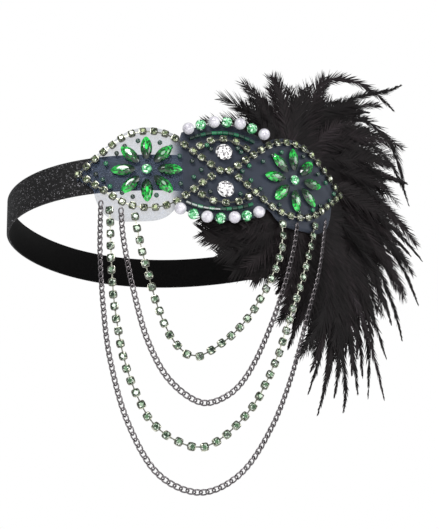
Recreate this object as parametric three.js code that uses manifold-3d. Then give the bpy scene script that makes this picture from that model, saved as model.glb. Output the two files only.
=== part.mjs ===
// A flapper feather headband: an elastic hoop, a beaded net ornament on its front, a black
// feather plume under the ornament's right half and four chain swags that hang below it.
// Millimetres, +Z up. The origin is the centre of the head opening at the band's mid height,
// and the ornament's middle faces -Y.
//
// Places on the ornament are given as (s, z, depth): s runs along its curved face from the
// middle towards +X, z is the height, and depth is the distance out from the band's face.

import * as THREE from 'three';
import { mergeVertices, mergeGeometries } from 'three/addons/utils/BufferGeometryUtils.js';
import Module from 'manifold-3d';

const wasm = await Module();
wasm.setup();

// Driving dimensions

const HEAD_RADIUS = 92.2;          // mean radius of the band's outer face, a 58 cm head
const HEAD_WIDENING = 0.051;       // share by which the oval is wider than deep
const HEAD_FLATTENING = 0.036;     // share by which the stiff ornament flattens the front
const BAND_WIDTH = 19;
const BAND_THICKNESS = 1.8;
const CLEARANCE = 0.3;             // gap between pieces that are sewn or glued together

const NET_THICKNESS = 1.0;
const NET_MARGIN = 2.6;            // net outside the rim's stone centres
const NET_FLAP_DEPTH = 27;         // z of the lower flaps' edge, where the swags are sewn on
const NET_FLAP_OFFSET = 43;        // s of each flap's middle
const NET_FLAP_HALF_LENGTH = 23;
const PLUME_SLOT = 2.9;            // how far the net stands off the band over the plume
const SLOT_START = -20;            // s where the net starts to leave the band
const SLOT_END = 8;                // s from where it is fully off
const ORNAMENT_RISE = 0.5;         // ornament's mid line above the band's

const LENS_OFFSET = 37.5;          // s of each lens's middle
const LENS_HALF_LENGTH = 35;
const LENS_HALF_HEIGHT = 20.5;
const LENS_CROWN_RADIUS = 26;      // round top and bottom between the straight flanks

const RIM_CUP = 3.9;
const RIM_HEIGHT = 2.2;
const RIM_PITCH = 5.6;
const EYE_ARC_HEIGHT = 17.2;       // z of the eye arcs' top stones
const EYE_ARC_RADIUS = 18.5;
const EYE_ARC_HALF_ANGLE = 39;     // degrees each side of the top

const EYE_CRYSTAL = 9;
const EYE_CRYSTAL_HEIGHT = 10;     // z of each eye crystal's centre
const EYE_CRYSTAL_THICKNESS = 3.4;

const BEAD_ROW_RADIUS = 44;        // plan radius of the pearl rows
const BEAD_ROW_TOP = 26;           // z of each row's middle bead
const BEAD_ROW_PITCH = 6.6;
const PEARL = 6;
const GREEN_BEAD = 5.5;

const PETAL_LENGTH = 12.3;
const PETAL_WIDTH = 5.9;
const PETAL_THICKNESS = 2.6;
const PETAL_INNER = 5.2;           // flower's centre to the petals' inner tips
const PETAL_COUNT = 8;
const FLOWER_OFFSET = 38.5;        // s of each flower's centre
const FLOWER_CENTRE = 5.6;
const FLOWER_CENTRE_THICKNESS = 2.4;

const SWAG_CUP = 4.1;
const SWAG_CUP_HEIGHT = 2.2;
const SWAG_PITCH = 6.1;
const CURB_WIDTH = 2.7;
const LINK_BAR_WIDTH = 1.2;        // bar between neighbouring cups
const LINK_BAR_HEIGHT = 0.7;

const PLUME_S = 42;                // s of the plume's pad
const PLUME_REACH = 124;           // longest feather
const PLUME_BEND_S = 76;           // s past which the feathers spring free of the hoop's curve
const PLUME_HEADING = 14;          // degrees, their plan direction from there
const PAD_HALF_LENGTH = 15;
const PAD_HALF_HEIGHT = 11;
const PAD_THICKNESS = 2.0;
const LOCK_COUNT = 21;
const LOCK_WIDTH = 15;
const LOCK_THICKNESS = 0.9;

// Chosen points of the swags' routes on the ornament's face: s, z

const SWAG_ROUTES = {
  inner_stones: [[-44.5, -24.5], [-42.3, -37.5], [-38.2, -56], [-33.4, -74], [-26.5, -89], [-17.4, -95],
    [-5, -88.5], [7, -77.4], [16.5, -63.5], [24.6, -48.5], [28.8, -36], [29.5, -25]],
  inner_curb: [[-51, -22], [-50, -36], [-46, -60], [-39.6, -86.5], [-30, -106], [-15.5, -116.8],
    [-1, -112], [10, -98.5], [21.1, -76.2], [29, -56], [34.8, -38], [37.8, -25]],
  outer_stones: [[-56.6, -20.5], [-56, -44], [-54.4, -70], [-49.2, -99.5], [-39.5, -123.5], [-28, -134],
    [-16, -137.5], [-4.1, -131.5], [10, -117], [22, -96], [31.8, -71.5], [40.5, -50], [49.8, -22.5]],
  outer_curb: [[-60.8, -17.5], [-61.2, -40], [-59.8, -68], [-56.6, -95], [-48.9, -125], [-36, -149],
    [-17.4, -157.8], [1.4, -149.8], [17.4, -128.8], [29.7, -103.2], [41, -71.5], [50.5, -46], [57, -19.5]],
};

// Outline of the plume, clockwise from its lower left: direction in degrees, reach as a share of
// PLUME_REACH, and sideways bulge as a share of the feather's length

const PLUME_FAN = [
  { angle: -153, reach: 0.52, bulge: 0.20 },
  { angle: -128, reach: 0.48, bulge: 0.16 },
  { angle: -108, reach: 0.46, bulge: 0.10 },
  { angle: -96, reach: 0.66, bulge: 0.06 },
  { angle: -86, reach: 0.98, bulge: 0.08 },
  { angle: -68, reach: 1.00, bulge: 0.14 },
  { angle: -54, reach: 0.86, bulge: 0.18 },
  { angle: -40, reach: 0.72, bulge: 0.20 },
  { angle: -20, reach: 0.74, bulge: 0.20 },
  { angle: 0, reach: 0.68, bulge: 0.20 },
  { angle: 22, reach: 0.72, bulge: 0.22 },
  { angle: 40, reach: 0.82, bulge: 0.18 },
  { angle: 56, reach: 0.70, bulge: 0.10 },
  { angle: 80, reach: 0.52, bulge: 0.00 },
  { angle: 112, reach: 0.50, bulge: -0.08 },
  { angle: 146, reach: 0.47, bulge: -0.14 },
];

// Materials

const finish = (color, roughness, metalness = 0) =>
  new THREE.MeshStandardMaterial({ color, roughness, metalness });
const glitterElastic = finish('#121112', 0.7);
const organzaNet = finish('#4a505c', 0.85);
const gunmetal = finish('#8f9384', 0.3, 0.9);
const silver = finish('#a9abad', 0.28, 1.0);
const emeraldGlass = finish('#0f8a2f', 0.1);
const paleGreenGlass = finish('#6fd28a', 0.12);
const clearGlass = finish('#dfe3e6', 0.08);
const pearlCoat = finish('#dcd8e2', 0.25);
const blackFeather = finish('#1c1819', 0.8);

// The band's face in plan, and places on it

const CURVE_STEPS = 1440;

function planRadius(angle) {
  const widening = HEAD_WIDENING * Math.cos(2 * angle);
  const flattening = HEAD_FLATTENING * Math.sin(3 * angle);
  return HEAD_RADIUS * (1 + widening - flattening);
}

function planPoint(angle) {
  const radius = planRadius(angle);
  return new THREE.Vector2(radius * Math.cos(angle), radius * Math.sin(angle));
}

function planNormal(angle) {
  const step = 1e-4;
  const along = planPoint(angle + step).sub(planPoint(angle - step)).normalize();
  return new THREE.Vector2(along.y, -along.x);
}

// Arc length along the face from the front's middle, one entry per step over half a turn each way
const arcTable = [];
for (let i = -CURVE_STEPS / 2; i <= CURVE_STEPS / 2; i += 1) {
  const angle = -Math.PI / 2 + (2 * Math.PI * i) / CURVE_STEPS;
  const previous = arcTable[arcTable.length - 1];
  const point = planPoint(angle);
  const length = previous ? previous.length + point.distanceTo(previous.point) : 0;
  arcTable.push({ angle, point, length });
}
const frontLength = arcTable[CURVE_STEPS / 2].length;

function angleAt(s) {
  const target = s + frontLength;
  let low = 0;
  let high = arcTable.length - 1;
  while (high - low > 1) {
    const middle = (low + high) >> 1;
    if (arcTable[middle].length <= target) low = middle;
    else high = middle;
  }
  const from = arcTable[low];
  const to = arcTable[high];
  return THREE.MathUtils.lerp(from.angle, to.angle, (target - from.length) / (to.length - from.length));
}

// Point on the face; past the plume's bend it follows a straight line instead of the hoop
function facePoint(s, z, depth) {
  const held = Math.min(s, PLUME_BEND_S);
  const angle = angleAt(held);
  const flat = planPoint(angle).addScaledVector(planNormal(angle), depth);
  if (s > PLUME_BEND_S) {
    const heading = THREE.MathUtils.degToRad(PLUME_HEADING);
    flat.x += (s - PLUME_BEND_S) * Math.cos(heading);
    flat.y += (s - PLUME_BEND_S) * Math.sin(heading);
  }
  return new THREE.Vector3(flat.x, flat.y, z);
}

// Depth of the net's back and front, which leave the band where the plume lies under them
const netBack = (s) => CLEARANCE + PLUME_SLOT * THREE.MathUtils.smoothstep(s, SLOT_START, SLOT_END);
const netFront = (s) => netBack(s) + NET_THICKNESS;

// Matrix of a seat at (s, z): X along the face, Z out of it, turned about Z by `turn`
function seatMatrix(s, z, depth, turn = 0) {
  const reach = 0.5;
  const along = facePoint(s + reach, z, netFront(s + reach)).sub(facePoint(s - reach, z, netFront(s - reach)));
  const x = along.normalize();
  const y = new THREE.Vector3(0, 0, 1);
  const out = new THREE.Vector3().crossVectors(x, y).normalize();
  const matrix = new THREE.Matrix4().makeBasis(x, y, out);
  matrix.setPosition(facePoint(s, z, depth));
  return matrix.multiply(new THREE.Matrix4().makeRotationZ(turn));
}

// Closed solids

function welded(geometry) {
  const bare = geometry.index ? geometry : geometry.clone();
  for (const name of Object.keys(bare.attributes)) {
    if (name !== 'position') bare.deleteAttribute(name);
  }
  const merged = mergeVertices(bare, 1e-4);
  const position = merged.getAttribute('position');
  const index = merged.getIndex();
  const kept = [];
  let volume = 0;
  const [a, b, c] = [new THREE.Vector3(), new THREE.Vector3(), new THREE.Vector3()];
  for (let i = 0; i < index.count; i += 3) {
    const [p, q, r] = [index.getX(i), index.getX(i + 1), index.getX(i + 2)];
    if (p === q || q === r || r === p) continue;
    kept.push(p, q, r);
    a.fromBufferAttribute(position, p);
    b.fromBufferAttribute(position, q);
    c.fromBufferAttribute(position, r);
    volume += a.dot(b.cross(c));
  }
  if (volume < 0) kept.reverse();
  merged.setIndex(kept);
  return merged;
}

function solid(geometry) {
  const closed = welded(geometry);
  return new wasm.Manifold(new wasm.Mesh({
    numProp: 3,
    vertProperties: new Float32Array(closed.getAttribute('position').array),
    triVerts: new Uint32Array(closed.getIndex().array),
  }));
}

function fused(geometries) {
  let body = solid(geometries[0]);
  for (const geometry of geometries.slice(1)) body = body.add(solid(geometry));
  // The outer shell alone, so that pockets shut in between the joined pieces are filled
  const shells = body.decompose().sort((a, b) => b.volume() - a.volume());
  const mesh = shells[0].getMesh();
  const geometry = new THREE.BufferGeometry();
  geometry.setAttribute('position', new THREE.BufferAttribute(new Float32Array(mesh.vertProperties), 3));
  geometry.setIndex(Array.from(mesh.triVerts));
  return geometry;
}

// Loft through rings of points with the same count, closed at both ends
function loft(rings) {
  const points = rings.flat();
  const sides = rings[0].length;
  const index = [];
  for (let ring = 0; ring < rings.length - 1; ring += 1) {
    for (let side = 0; side < sides; side += 1) {
      const next = (side + 1) % sides;
      const [a, b] = [ring * sides + side, ring * sides + next];
      index.push(a, b, b + sides, a, b + sides, a + sides);
    }
  }
  const last = (rings.length - 1) * sides;
  for (let side = 1; side < sides - 1; side += 1) {
    index.push(0, side + 1, side);
    index.push(last, last + side, last + side + 1);
  }
  const geometry = new THREE.BufferGeometry();
  geometry.setAttribute('position', new THREE.Float32BufferAttribute(points.flatMap((p) => p.toArray()), 3));
  geometry.setIndex(index);
  return welded(geometry);
}

// Solid of revolution about Z from a profile of [radius, height]
function turned(profile, sides) {
  const geometry = new THREE.LatheGeometry(profile.map(([r, h]) => new THREE.Vector2(r, h)), sides);
  return welded(geometry.rotateX(Math.PI / 2));
}

// Pieces

function band() {
  const sections = 72;
  const rings = [];
  for (let i = 0; i <= sections; i += 1) {
    const angle = (2 * Math.PI * (i % sections)) / sections;
    const corner = (depth, z) => {
      const flat = planPoint(angle).addScaledVector(planNormal(angle), depth);
      return new THREE.Vector3(flat.x, flat.y, z);
    };
    rings.push([
      corner(0, -BAND_WIDTH / 2), corner(0, BAND_WIDTH / 2),
      corner(-BAND_THICKNESS, BAND_WIDTH / 2), corner(-BAND_THICKNESS, -BAND_WIDTH / 2),
    ]);
  }
  const points = rings.slice(0, sections).flat();
  const index = [];
  for (let ring = 0; ring < sections; ring += 1) {
    for (let side = 0; side < 4; side += 1) {
      const [a, b] = [ring * 4 + side, ring * 4 + ((side + 1) % 4)];
      const [c, d] = [((ring + 1) % sections) * 4 + side, ((ring + 1) % sections) * 4 + ((side + 1) % 4)];
      index.push(a, b, d, a, d, c);
    }
  }
  const geometry = new THREE.BufferGeometry();
  geometry.setAttribute('position', new THREE.Float32BufferAttribute(points.flatMap((p) => p.toArray()), 3));
  geometry.setIndex(index);
  return welded(geometry);
}

// Height of a lens's rim at a distance from its middle: a round crown between straight flanks
function lensHeight(distance) {
  const x = Math.min(Math.abs(distance), LENS_HALF_LENGTH);
  const crownDrop = LENS_HALF_HEIGHT - LENS_CROWN_RADIUS;
  const toTip = Math.hypot(LENS_HALF_LENGTH, crownDrop);
  const slope = Math.asin(LENS_CROWN_RADIUS / toTip) - Math.atan2(-crownDrop, LENS_HALF_LENGTH);
  if (x < LENS_CROWN_RADIUS * Math.sin(slope)) {
    return Math.sqrt(LENS_CROWN_RADIUS ** 2 - x ** 2) + crownDrop;
  }
  return (LENS_HALF_LENGTH - x) * Math.tan(slope);
}

// Height of the pearl rows above the mid line at s
const beadRowHeight = (s) => BEAD_ROW_TOP - BEAD_ROW_RADIUS + Math.sqrt(BEAD_ROW_RADIUS ** 2 - s ** 2);

// The net sheet: both lenses, the eyes up to the pearl rows, and flaps along the lower edge
function netBacking() {
  const columns = 60;
  const halfLength = LENS_OFFSET + LENS_HALF_LENGTH + NET_MARGIN * 0.6;
  const rowHalf = 3.2 * BEAD_ROW_PITCH;
  const rings = [];
  for (let i = 0; i <= columns; i += 1) {
    const s = THREE.MathUtils.lerp(-halfLength, halfLength, i / columns);
    const lens = lensHeight(Math.abs(s) - LENS_OFFSET) + NET_MARGIN;
    const row = Math.abs(s) < rowHalf ? beadRowHeight(s) : 0;
    const flapShare = Math.abs(Math.abs(s) - NET_FLAP_OFFSET) / NET_FLAP_HALF_LENGTH;
    const flap = NET_FLAP_DEPTH * Math.sqrt(Math.max(0, 1 - flapShare ** 3.5));
    const top = ORNAMENT_RISE + Math.max(lens, row);
    const bottom = ORNAMENT_RISE - Math.max(lens, row, flap);
    rings.push([
      facePoint(s, bottom, netFront(s)), facePoint(s, top, netFront(s)),
      facePoint(s, top, netBack(s)), facePoint(s, bottom, netBack(s)),
    ]);
  }
  return loft(rings);
}

// Round stone in its cup: eight crown facets and a table
function cuppedStone(cup, height) {
  return turned([[0, 0], [cup / 2, 0], [cup * 0.3, height], [0, height]], 8);
}

// Three-sided bar from one cup into the next
function linkBar(from, to, normal) {
  const along = to.clone().sub(from).normalize();
  const across = new THREE.Vector3().crossVectors(normal, along).normalize();
  const out = new THREE.Vector3().crossVectors(along, across);
  const section = [[-LINK_BAR_WIDTH / 2, 0.2], [LINK_BAR_WIDTH / 2, 0.2], [0, 0.2 + LINK_BAR_HEIGHT]];
  const ring = (centre, step) => section.map(([sideways, height]) => centre.clone()
    .addScaledVector(along, step).addScaledVector(across, sideways).addScaledVector(out, height));
  return loft([ring(from, RIM_CUP * 0.3), ring(to, -RIM_CUP * 0.3)]);
}

// Stones in cups joined by bars: one closed body. Places are { s, z, depth }
function cupChain(places, cup, height) {
  // Each stone is turned so that one of its eight flats faces the next stone
  const seats = places.map(({ s, z, depth }, i) => {
    const [before, after] = [places[Math.max(i - 1, 0)], places[Math.min(i + 1, places.length - 1)]];
    return seatMatrix(s, z, depth, Math.atan2(after.z - before.z, after.s - before.s) + Math.PI / 8);
  });
  const parts = seats.map((seat) => cuppedStone(cup, height).applyMatrix4(seat));
  for (let i = 0; i < seats.length - 1; i += 1) {
    const from = new THREE.Vector3().setFromMatrixPosition(seats[i]);
    const to = new THREE.Vector3().setFromMatrixPosition(seats[i + 1]);
    parts.push(linkBar(from, to, new THREE.Vector3().setFromMatrixColumn(seats[i], 2)));
  }
  return fused(parts);
}

// Equally spaced points along a flat curve of [s, z]
function spaced(points, pitch, closed = false) {
  const curve = new THREE.CatmullRomCurve3(points.map(([s, z]) => new THREE.Vector3(s, z, 0)), closed);
  curve.arcLengthDivisions = 400;
  const count = Math.round(curve.getLength() / pitch);
  return curve.getSpacedPoints(count).map((p) => [p.x, p.y]);
}

// One lens's stones from the crossing over the top, round the tip and back underneath
function lensRim(side) {
  const crossingGap = (RIM_CUP + CLEARANCE) / 2;
  const inner = LENS_HALF_LENGTH - (crossingGap - (LENS_OFFSET - LENS_HALF_LENGTH));
  const steps = 40;
  const outline = [];
  for (let i = 0; i <= steps; i += 1) {
    const x = THREE.MathUtils.lerp(-inner, LENS_HALF_LENGTH, i / steps);
    outline.push([side * (LENS_OFFSET + x), lensHeight(x)]);
  }
  const under = outline.slice(0, -1).reverse().map(([s, z]) => [s, -z]);
  const all = spaced([...outline, ...under], RIM_PITCH);
  return cupChain(all.slice(0, -1).map(([s, z]) => (
    { s, z: z + ORNAMENT_RISE, depth: netFront(s) + CLEARANCE })), RIM_CUP, RIM_HEIGHT);
}

// The row of stones that closes each eye between the two lenses
function eyeArc(sign) {
  const half = THREE.MathUtils.degToRad(EYE_ARC_HALF_ANGLE);
  const count = Math.round((2 * half * EYE_ARC_RADIUS) / RIM_PITCH) + 1;
  const places = [];
  for (let i = 0; i < count; i += 1) {
    const angle = THREE.MathUtils.lerp(-half, half, i / (count - 1));
    const s = EYE_ARC_RADIUS * Math.sin(angle);
    const z = EYE_ARC_HEIGHT - EYE_ARC_RADIUS * (1 - Math.cos(angle));
    places.push({ s, z: ORNAMENT_RISE + sign * z, depth: netFront(s) + CLEARANCE });
  }
  return cupChain(places, RIM_CUP, RIM_HEIGHT);
}

// Cut stones and beads, each about its own seat with Z out

function petal() {
  const half = PETAL_LENGTH / 2;
  const outline = [[-1, 0], [-0.62, 0.72], [0, 1], [0.62, 0.72], [1, 0], [0.62, -0.72], [0, -1], [-0.62, -0.72]];
  const ring = (share, height) => outline.map(([x, y]) => (
    new THREE.Vector3(x * half * share, (y * PETAL_WIDTH * share) / 2, height)));
  return loft([ring(0.7, 0), ring(1, PETAL_THICKNESS * 0.4), ring(0.52, PETAL_THICKNESS)]);
}

function roundCut(diameter, thickness, sides) {
  const radius = diameter / 2;
  return turned([[0, 0], [radius * 0.8, 0], [radius, thickness * 0.45], [radius * 0.55, thickness],
    [0, thickness]], sides);
}

function pearl() {
  return welded(new THREE.SphereGeometry(PEARL / 2, 10, 7));
}

function greenBead() {
  const radius = GREEN_BEAD / 2;
  return turned([[0, -radius * 0.86], [radius * 0.5, -radius * 0.86], [radius * 0.96, -radius * 0.3],
    [radius * 0.96, radius * 0.3], [radius * 0.5, radius * 0.86], [0, radius * 0.86]], 8);
}

// Swags

function swagPlaces(route, pitch) {
  const places = spaced(route, pitch);
  const [first, last] = [places[0], places[places.length - 1]];
  return places.map(([s, z], i) => {
    const share = i / (places.length - 1);
    const depth = CLEARANCE + THREE.MathUtils.lerp(netFront(first[0]), netFront(last[0]), share);
    return { s, z, depth };
  });
}

function curbTube(route) {
  const places = swagPlaces(route, CURB_WIDTH * 2.5);
  const path = new THREE.CatmullRomCurve3(places.map(({ s, z, depth }) => (
    facePoint(s, z, depth + CURB_WIDTH / 2))));
  const section = new THREE.Shape();
  section.absarc(0, 0, CURB_WIDTH / 2, 0, 2 * Math.PI);
  return welded(new THREE.ExtrudeGeometry(section, {
    steps: places.length - 1, curveSegments: 4, bevelEnabled: false, extrudePath: path,
  }));
}

// Plume

function fanAt(angle) {
  const upper = Math.max(1, PLUME_FAN.findIndex((row) => row.angle >= angle));
  const [from, to] = [PLUME_FAN[upper - 1], PLUME_FAN[upper]];
  const share = (angle - from.angle) / (to.angle - from.angle);
  return {
    reach: PLUME_REACH * THREE.MathUtils.lerp(from.reach, to.reach, share),
    bulge: THREE.MathUtils.lerp(from.bulge, to.bulge, share),
  };
}

// A lock of feathers: a flat tapered blade bent sideways, from the pad to its tip
function featherLock(angleDegrees, layer) {
  const { reach, bulge } = fanAt(angleDegrees);
  const angle = THREE.MathUtils.degToRad(angleDegrees);
  const along = new THREE.Vector2(Math.cos(angle), Math.sin(angle));
  const across = new THREE.Vector2(-along.y, along.x);
  const root = new THREE.Vector2(PLUME_S, ORNAMENT_RISE).addScaledVector(along, 4);
  const tip = new THREE.Vector2(PLUME_S, ORNAMENT_RISE).addScaledVector(along, reach);
  const bend = root.clone().add(tip).multiplyScalar(0.5).addScaledVector(across, 2 * bulge * reach);
  const curve = new THREE.QuadraticBezierCurve(root, bend, tip);
  const slotMiddle = CLEARANCE + PLUME_SLOT / 2;
  const steps = 6;
  return loft(Array.from({ length: steps + 1 }, (_, i) => {
    const t = i / steps;
    const width = 0.08 + 0.92 * Math.sin(Math.PI * (0.14 + 0.86 * t)) ** 0.7;
    const middle = curve.getPoint(t);
    const side = curve.getTangent(t);
    const half = (LOCK_WIDTH * width) / 2;
    const depth = slotMiddle + layer * 0.55;
    const thick = (LOCK_THICKNESS * Math.max(width, 0.4)) / 2;
    const place = (sideways, out) => facePoint(middle.x - side.y * sideways, middle.y + side.x * sideways, depth + out);
    return [place(-half, -thick), place(half, -thick), place(0, thick)];
  }));
}

function plume() {
  const [inner, outer] = [-0.5, 0.5].map((side) => CLEARANCE + PLUME_SLOT / 2 + side * PAD_THICKNESS);
  const columns = 8;
  const pad = loft(Array.from({ length: columns + 1 }, (_, i) => {
    const share = THREE.MathUtils.lerp(-0.96, 0.96, i / columns);
    const s = PLUME_S + PAD_HALF_LENGTH * share;
    const rise = PAD_HALF_HEIGHT * Math.sqrt(1 - share * share);
    return [facePoint(s, ORNAMENT_RISE - rise, outer), facePoint(s, ORNAMENT_RISE + rise, outer),
      facePoint(s, ORNAMENT_RISE + rise, inner), facePoint(s, ORNAMENT_RISE - rise, inner)];
  }));
  const parts = [pad];
  const [first, last] = [PLUME_FAN[0].angle, PLUME_FAN[PLUME_FAN.length - 1].angle];
  for (let i = 0; i < LOCK_COUNT; i += 1) {
    const angle = THREE.MathUtils.lerp(first, last, i / (LOCK_COUNT - 1));
    parts.push(featherLock(angle, (i % 3) - 1));
  }
  return fused(parts);
}

// Assembly

const headband = new THREE.Group();

function add(name, geometry, material, parent = headband) {
  const mesh = new THREE.Mesh(geometry, material);
  mesh.name = name;
  parent.add(mesh);
  return mesh;
}

// Places a mesh on the ornament's face, its own Z pointing out
function seat(mesh, s, z, lift, turn = 0) {
  const matrix = seatMatrix(s, z + ORNAMENT_RISE, netFront(s) + CLEARANCE + lift, turn);
  matrix.decompose(mesh.position, mesh.quaternion, mesh.scale);
}

add('band', band(), glitterElastic);
add('net_backing', netBacking(), organzaNet);
add('feather_plume', plume(), blackFeather);
add('left_lens_rim', lensRim(-1), gunmetal);
add('right_lens_rim', lensRim(1), gunmetal);
add('upper_eye_arc', eyeArc(1), gunmetal);
add('lower_eye_arc', eyeArc(-1), gunmetal);

for (const [side, direction] of [['left', -1], ['right', 1]]) {
  const centre = direction * FLOWER_OFFSET;
  seat(add(`${side}_flower_centre`, roundCut(FLOWER_CENTRE, FLOWER_CENTRE_THICKNESS, 10), paleGreenGlass), centre, 0, 0);
  for (let i = 0; i < PETAL_COUNT; i += 1) {
    const turn = (2 * Math.PI * i) / PETAL_COUNT;
    const radius = PETAL_INNER + PETAL_LENGTH / 2;
    const mesh = add(`${side}_petal_${i + 1}`, petal(), emeraldGlass);
    seat(mesh, centre + radius * Math.cos(turn), radius * Math.sin(turn), 0, turn);
  }
}

const BEAD_ROWS = [
  { name: 'upper', sign: 1, shift: 1.5 },
  { name: 'lower', sign: -1, shift: -3.5 },
];
for (const { name, sign, shift } of BEAD_ROWS) {
  seat(add(`${name}_eye_crystal`, roundCut(EYE_CRYSTAL, EYE_CRYSTAL_THICKNESS, 12), clearGlass),
    0, sign * EYE_CRYSTAL_HEIGHT, 0);
  for (let i = 0; i < 7; i += 1) {
    const s = shift + (i - 3) * BEAD_ROW_PITCH * Math.cos((Math.abs(i - 3) * BEAD_ROW_PITCH) / BEAD_ROW_RADIUS / 2);
    const isPearl = i % 2 === 0;
    const mesh = isPearl
      ? add(`${name}_pearl_${i / 2 + 1}`, pearl(), pearlCoat)
      : add(`${name}_green_bead_${(i + 1) / 2}`, greenBead(), paleGreenGlass);
    seat(mesh, s, sign * beadRowHeight(s - shift), (isPearl ? PEARL : GREEN_BEAD * 0.86) / 2);
  }
}

add('inner_stone_swag', cupChain(swagPlaces(SWAG_ROUTES.inner_stones, SWAG_PITCH), SWAG_CUP, SWAG_CUP_HEIGHT), gunmetal);
add('outer_stone_swag', cupChain(swagPlaces(SWAG_ROUTES.outer_stones, SWAG_PITCH), SWAG_CUP, SWAG_CUP_HEIGHT), gunmetal);
add('inner_curb_swag', curbTube(SWAG_ROUTES.inner_curb), silver);
add('outer_curb_swag', curbTube(SWAG_ROUTES.outer_curb), silver);

export default headband;
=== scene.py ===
import math
import random

import bpy
import numpy as np
from mathutils import Matrix, Vector


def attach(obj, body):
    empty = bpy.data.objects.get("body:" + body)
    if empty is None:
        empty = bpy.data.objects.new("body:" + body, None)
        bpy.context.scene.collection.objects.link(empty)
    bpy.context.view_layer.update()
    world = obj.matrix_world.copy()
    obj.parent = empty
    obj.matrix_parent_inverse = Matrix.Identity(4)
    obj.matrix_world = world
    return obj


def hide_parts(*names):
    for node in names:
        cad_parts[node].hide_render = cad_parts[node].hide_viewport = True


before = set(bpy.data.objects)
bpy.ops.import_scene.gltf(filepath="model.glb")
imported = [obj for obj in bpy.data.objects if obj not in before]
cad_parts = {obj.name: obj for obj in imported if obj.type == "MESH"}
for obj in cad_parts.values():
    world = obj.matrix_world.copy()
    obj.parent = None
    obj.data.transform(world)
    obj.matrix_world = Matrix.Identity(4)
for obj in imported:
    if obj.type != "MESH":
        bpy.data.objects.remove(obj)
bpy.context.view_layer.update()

MM = 0.001

# Sizes shared with the solids

HEAD_RADIUS = 92.2
HEAD_WIDENING = 0.051
HEAD_FLATTENING = 0.036
BAND_WIDTH = 19.0
BAND_THICKNESS = 1.8
CLEARANCE = 0.3
NET_THICKNESS = 1.0
NET_MARGIN = 2.6
NET_FLAP_DEPTH = 27.0
NET_FLAP_OFFSET = 43.0
NET_FLAP_HALF_LENGTH = 23.0
PLUME_SLOT = 2.9
SLOT_START = -20.0
SLOT_END = 8.0
RISE = 0.5
LENS_OFFSET = 37.5
LENS_HALF_LENGTH = 35.0
LENS_HALF_HEIGHT = 20.5
LENS_CROWN_RADIUS = 26.0
RIM_CUP = 3.9
RIM_PITCH = 5.6
EYE_ARC_HEIGHT = 17.2
EYE_ARC_RADIUS = 18.5
EYE_ARC_HALF_ANGLE = 39.0
EYE_CRYSTAL = 9.0
EYE_CRYSTAL_HEIGHT = 10.0
BEAD_ROW_RADIUS = 44.0
BEAD_ROW_TOP = 26.0
BEAD_ROW_PITCH = 6.6
PEARL = 6.0
GREEN_BEAD = 5.5
PETAL_LENGTH = 12.3
PETAL_WIDTH = 5.9
PETAL_THICKNESS = 2.6
PETAL_INNER = 5.2
PETAL_COUNT = 8
FLOWER_OFFSET = 38.5
FLOWER_CENTRE = 5.6
SWAG_CUP = 4.1
SWAG_PITCH = 6.1
CURB_WIDTH = 2.7
PLUME_S = 42.0
PLUME_REACH = 124.0
PLUME_BEND_S = 76.0
PLUME_HEADING = 14.0

# Routes of the swags on the ornament's face: s along it, z up

SWAG_ROUTES = {
    "inner_stone_swag": [
        (-44.5, -24.5), (-42.3, -37.5), (-38.2, -56), (-33.4, -74), (-26.5, -89), (-17.4, -95),
        (-5, -88.5), (7, -77.4), (16.5, -63.5), (24.6, -48.5), (28.8, -36), (29.5, -25),
    ],
    "inner_curb_swag": [
        (-51, -22), (-50, -36), (-46, -60), (-39.6, -86.5), (-30, -106), (-15.5, -116.8), (-1, -112),
        (10, -98.5), (21.1, -76.2), (29, -56), (34.8, -38), (37.8, -25),
    ],
    "outer_stone_swag": [
        (-56.6, -20.5), (-56, -44), (-54.4, -70), (-49.2, -99.5), (-39.5, -123.5), (-28, -134),
        (-16, -137.5), (-4.1, -131.5), (10, -117), (22, -96), (31.8, -71.5), (40.5, -50),
        (49.8, -22.5),
    ],
    "outer_curb_swag": [
        (-60.8, -17.5), (-61.2, -40), (-59.8, -68), (-56.6, -95), (-48.9, -125), (-36, -149),
        (-17.4, -157.8), (1.4, -149.8), (17.4, -128.8), (29.7, -103.2), (41, -71.5), (50.5, -46),
        (57, -19.5),
    ],
}

# Plume outline: direction in degrees, reach as a share of PLUME_REACH, bulge as a share of length

PLUME_FAN = [
    (-153, 0.52, 0.20), (-128, 0.48, 0.16), (-108, 0.46, 0.10), (-96, 0.66, 0.06), (-86, 0.98, 0.08),
    (-68, 1.00, 0.14), (-54, 0.86, 0.18), (-40, 0.72, 0.20), (-20, 0.74, 0.20), (0, 0.68, 0.20),
    (22, 0.72, 0.22), (40, 0.82, 0.18), (56, 0.70, 0.10), (80, 0.52, 0.00), (112, 0.50, -0.08),
    (146, 0.47, -0.14),
]


# Camera, at the photographed view from a little below the brow

VIEW_AZIMUTH = -18.92
VIEW_ELEVATION = -17.24
VIEW_ROLL = -2.23
VIEW_POINT = Vector((-160.5, -543.1, -198.2)) * MM
VIEW_LENS = 70.31


def place_camera():
    azimuth, elevation, roll = (math.radians(a) for a in (VIEW_AZIMUTH, VIEW_ELEVATION, VIEW_ROLL))
    forward = Vector((-math.sin(azimuth) * math.cos(elevation), math.cos(azimuth) * math.cos(elevation),
                      -math.sin(elevation)))
    level = forward.cross(Vector((0, 0, 1))).normalized()
    upright = level.cross(forward)
    right = level * math.cos(roll) + upright * math.sin(roll)
    up = right.cross(forward)
    data = bpy.data.cameras.new("camera")
    data.lens = VIEW_LENS
    data.sensor_width = 36.0
    data.clip_start = 0.01
    data.clip_end = 20.0
    camera = bpy.data.objects.new("camera", data)
    bpy.context.scene.collection.objects.link(camera)
    axes = Matrix((right, up, -forward)).transposed()
    camera.matrix_world = Matrix.Translation(VIEW_POINT) @ axes.to_4x4()
    bpy.context.scene.camera = camera


place_camera()


# The face: places on it as arrays of s, z and depth

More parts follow.
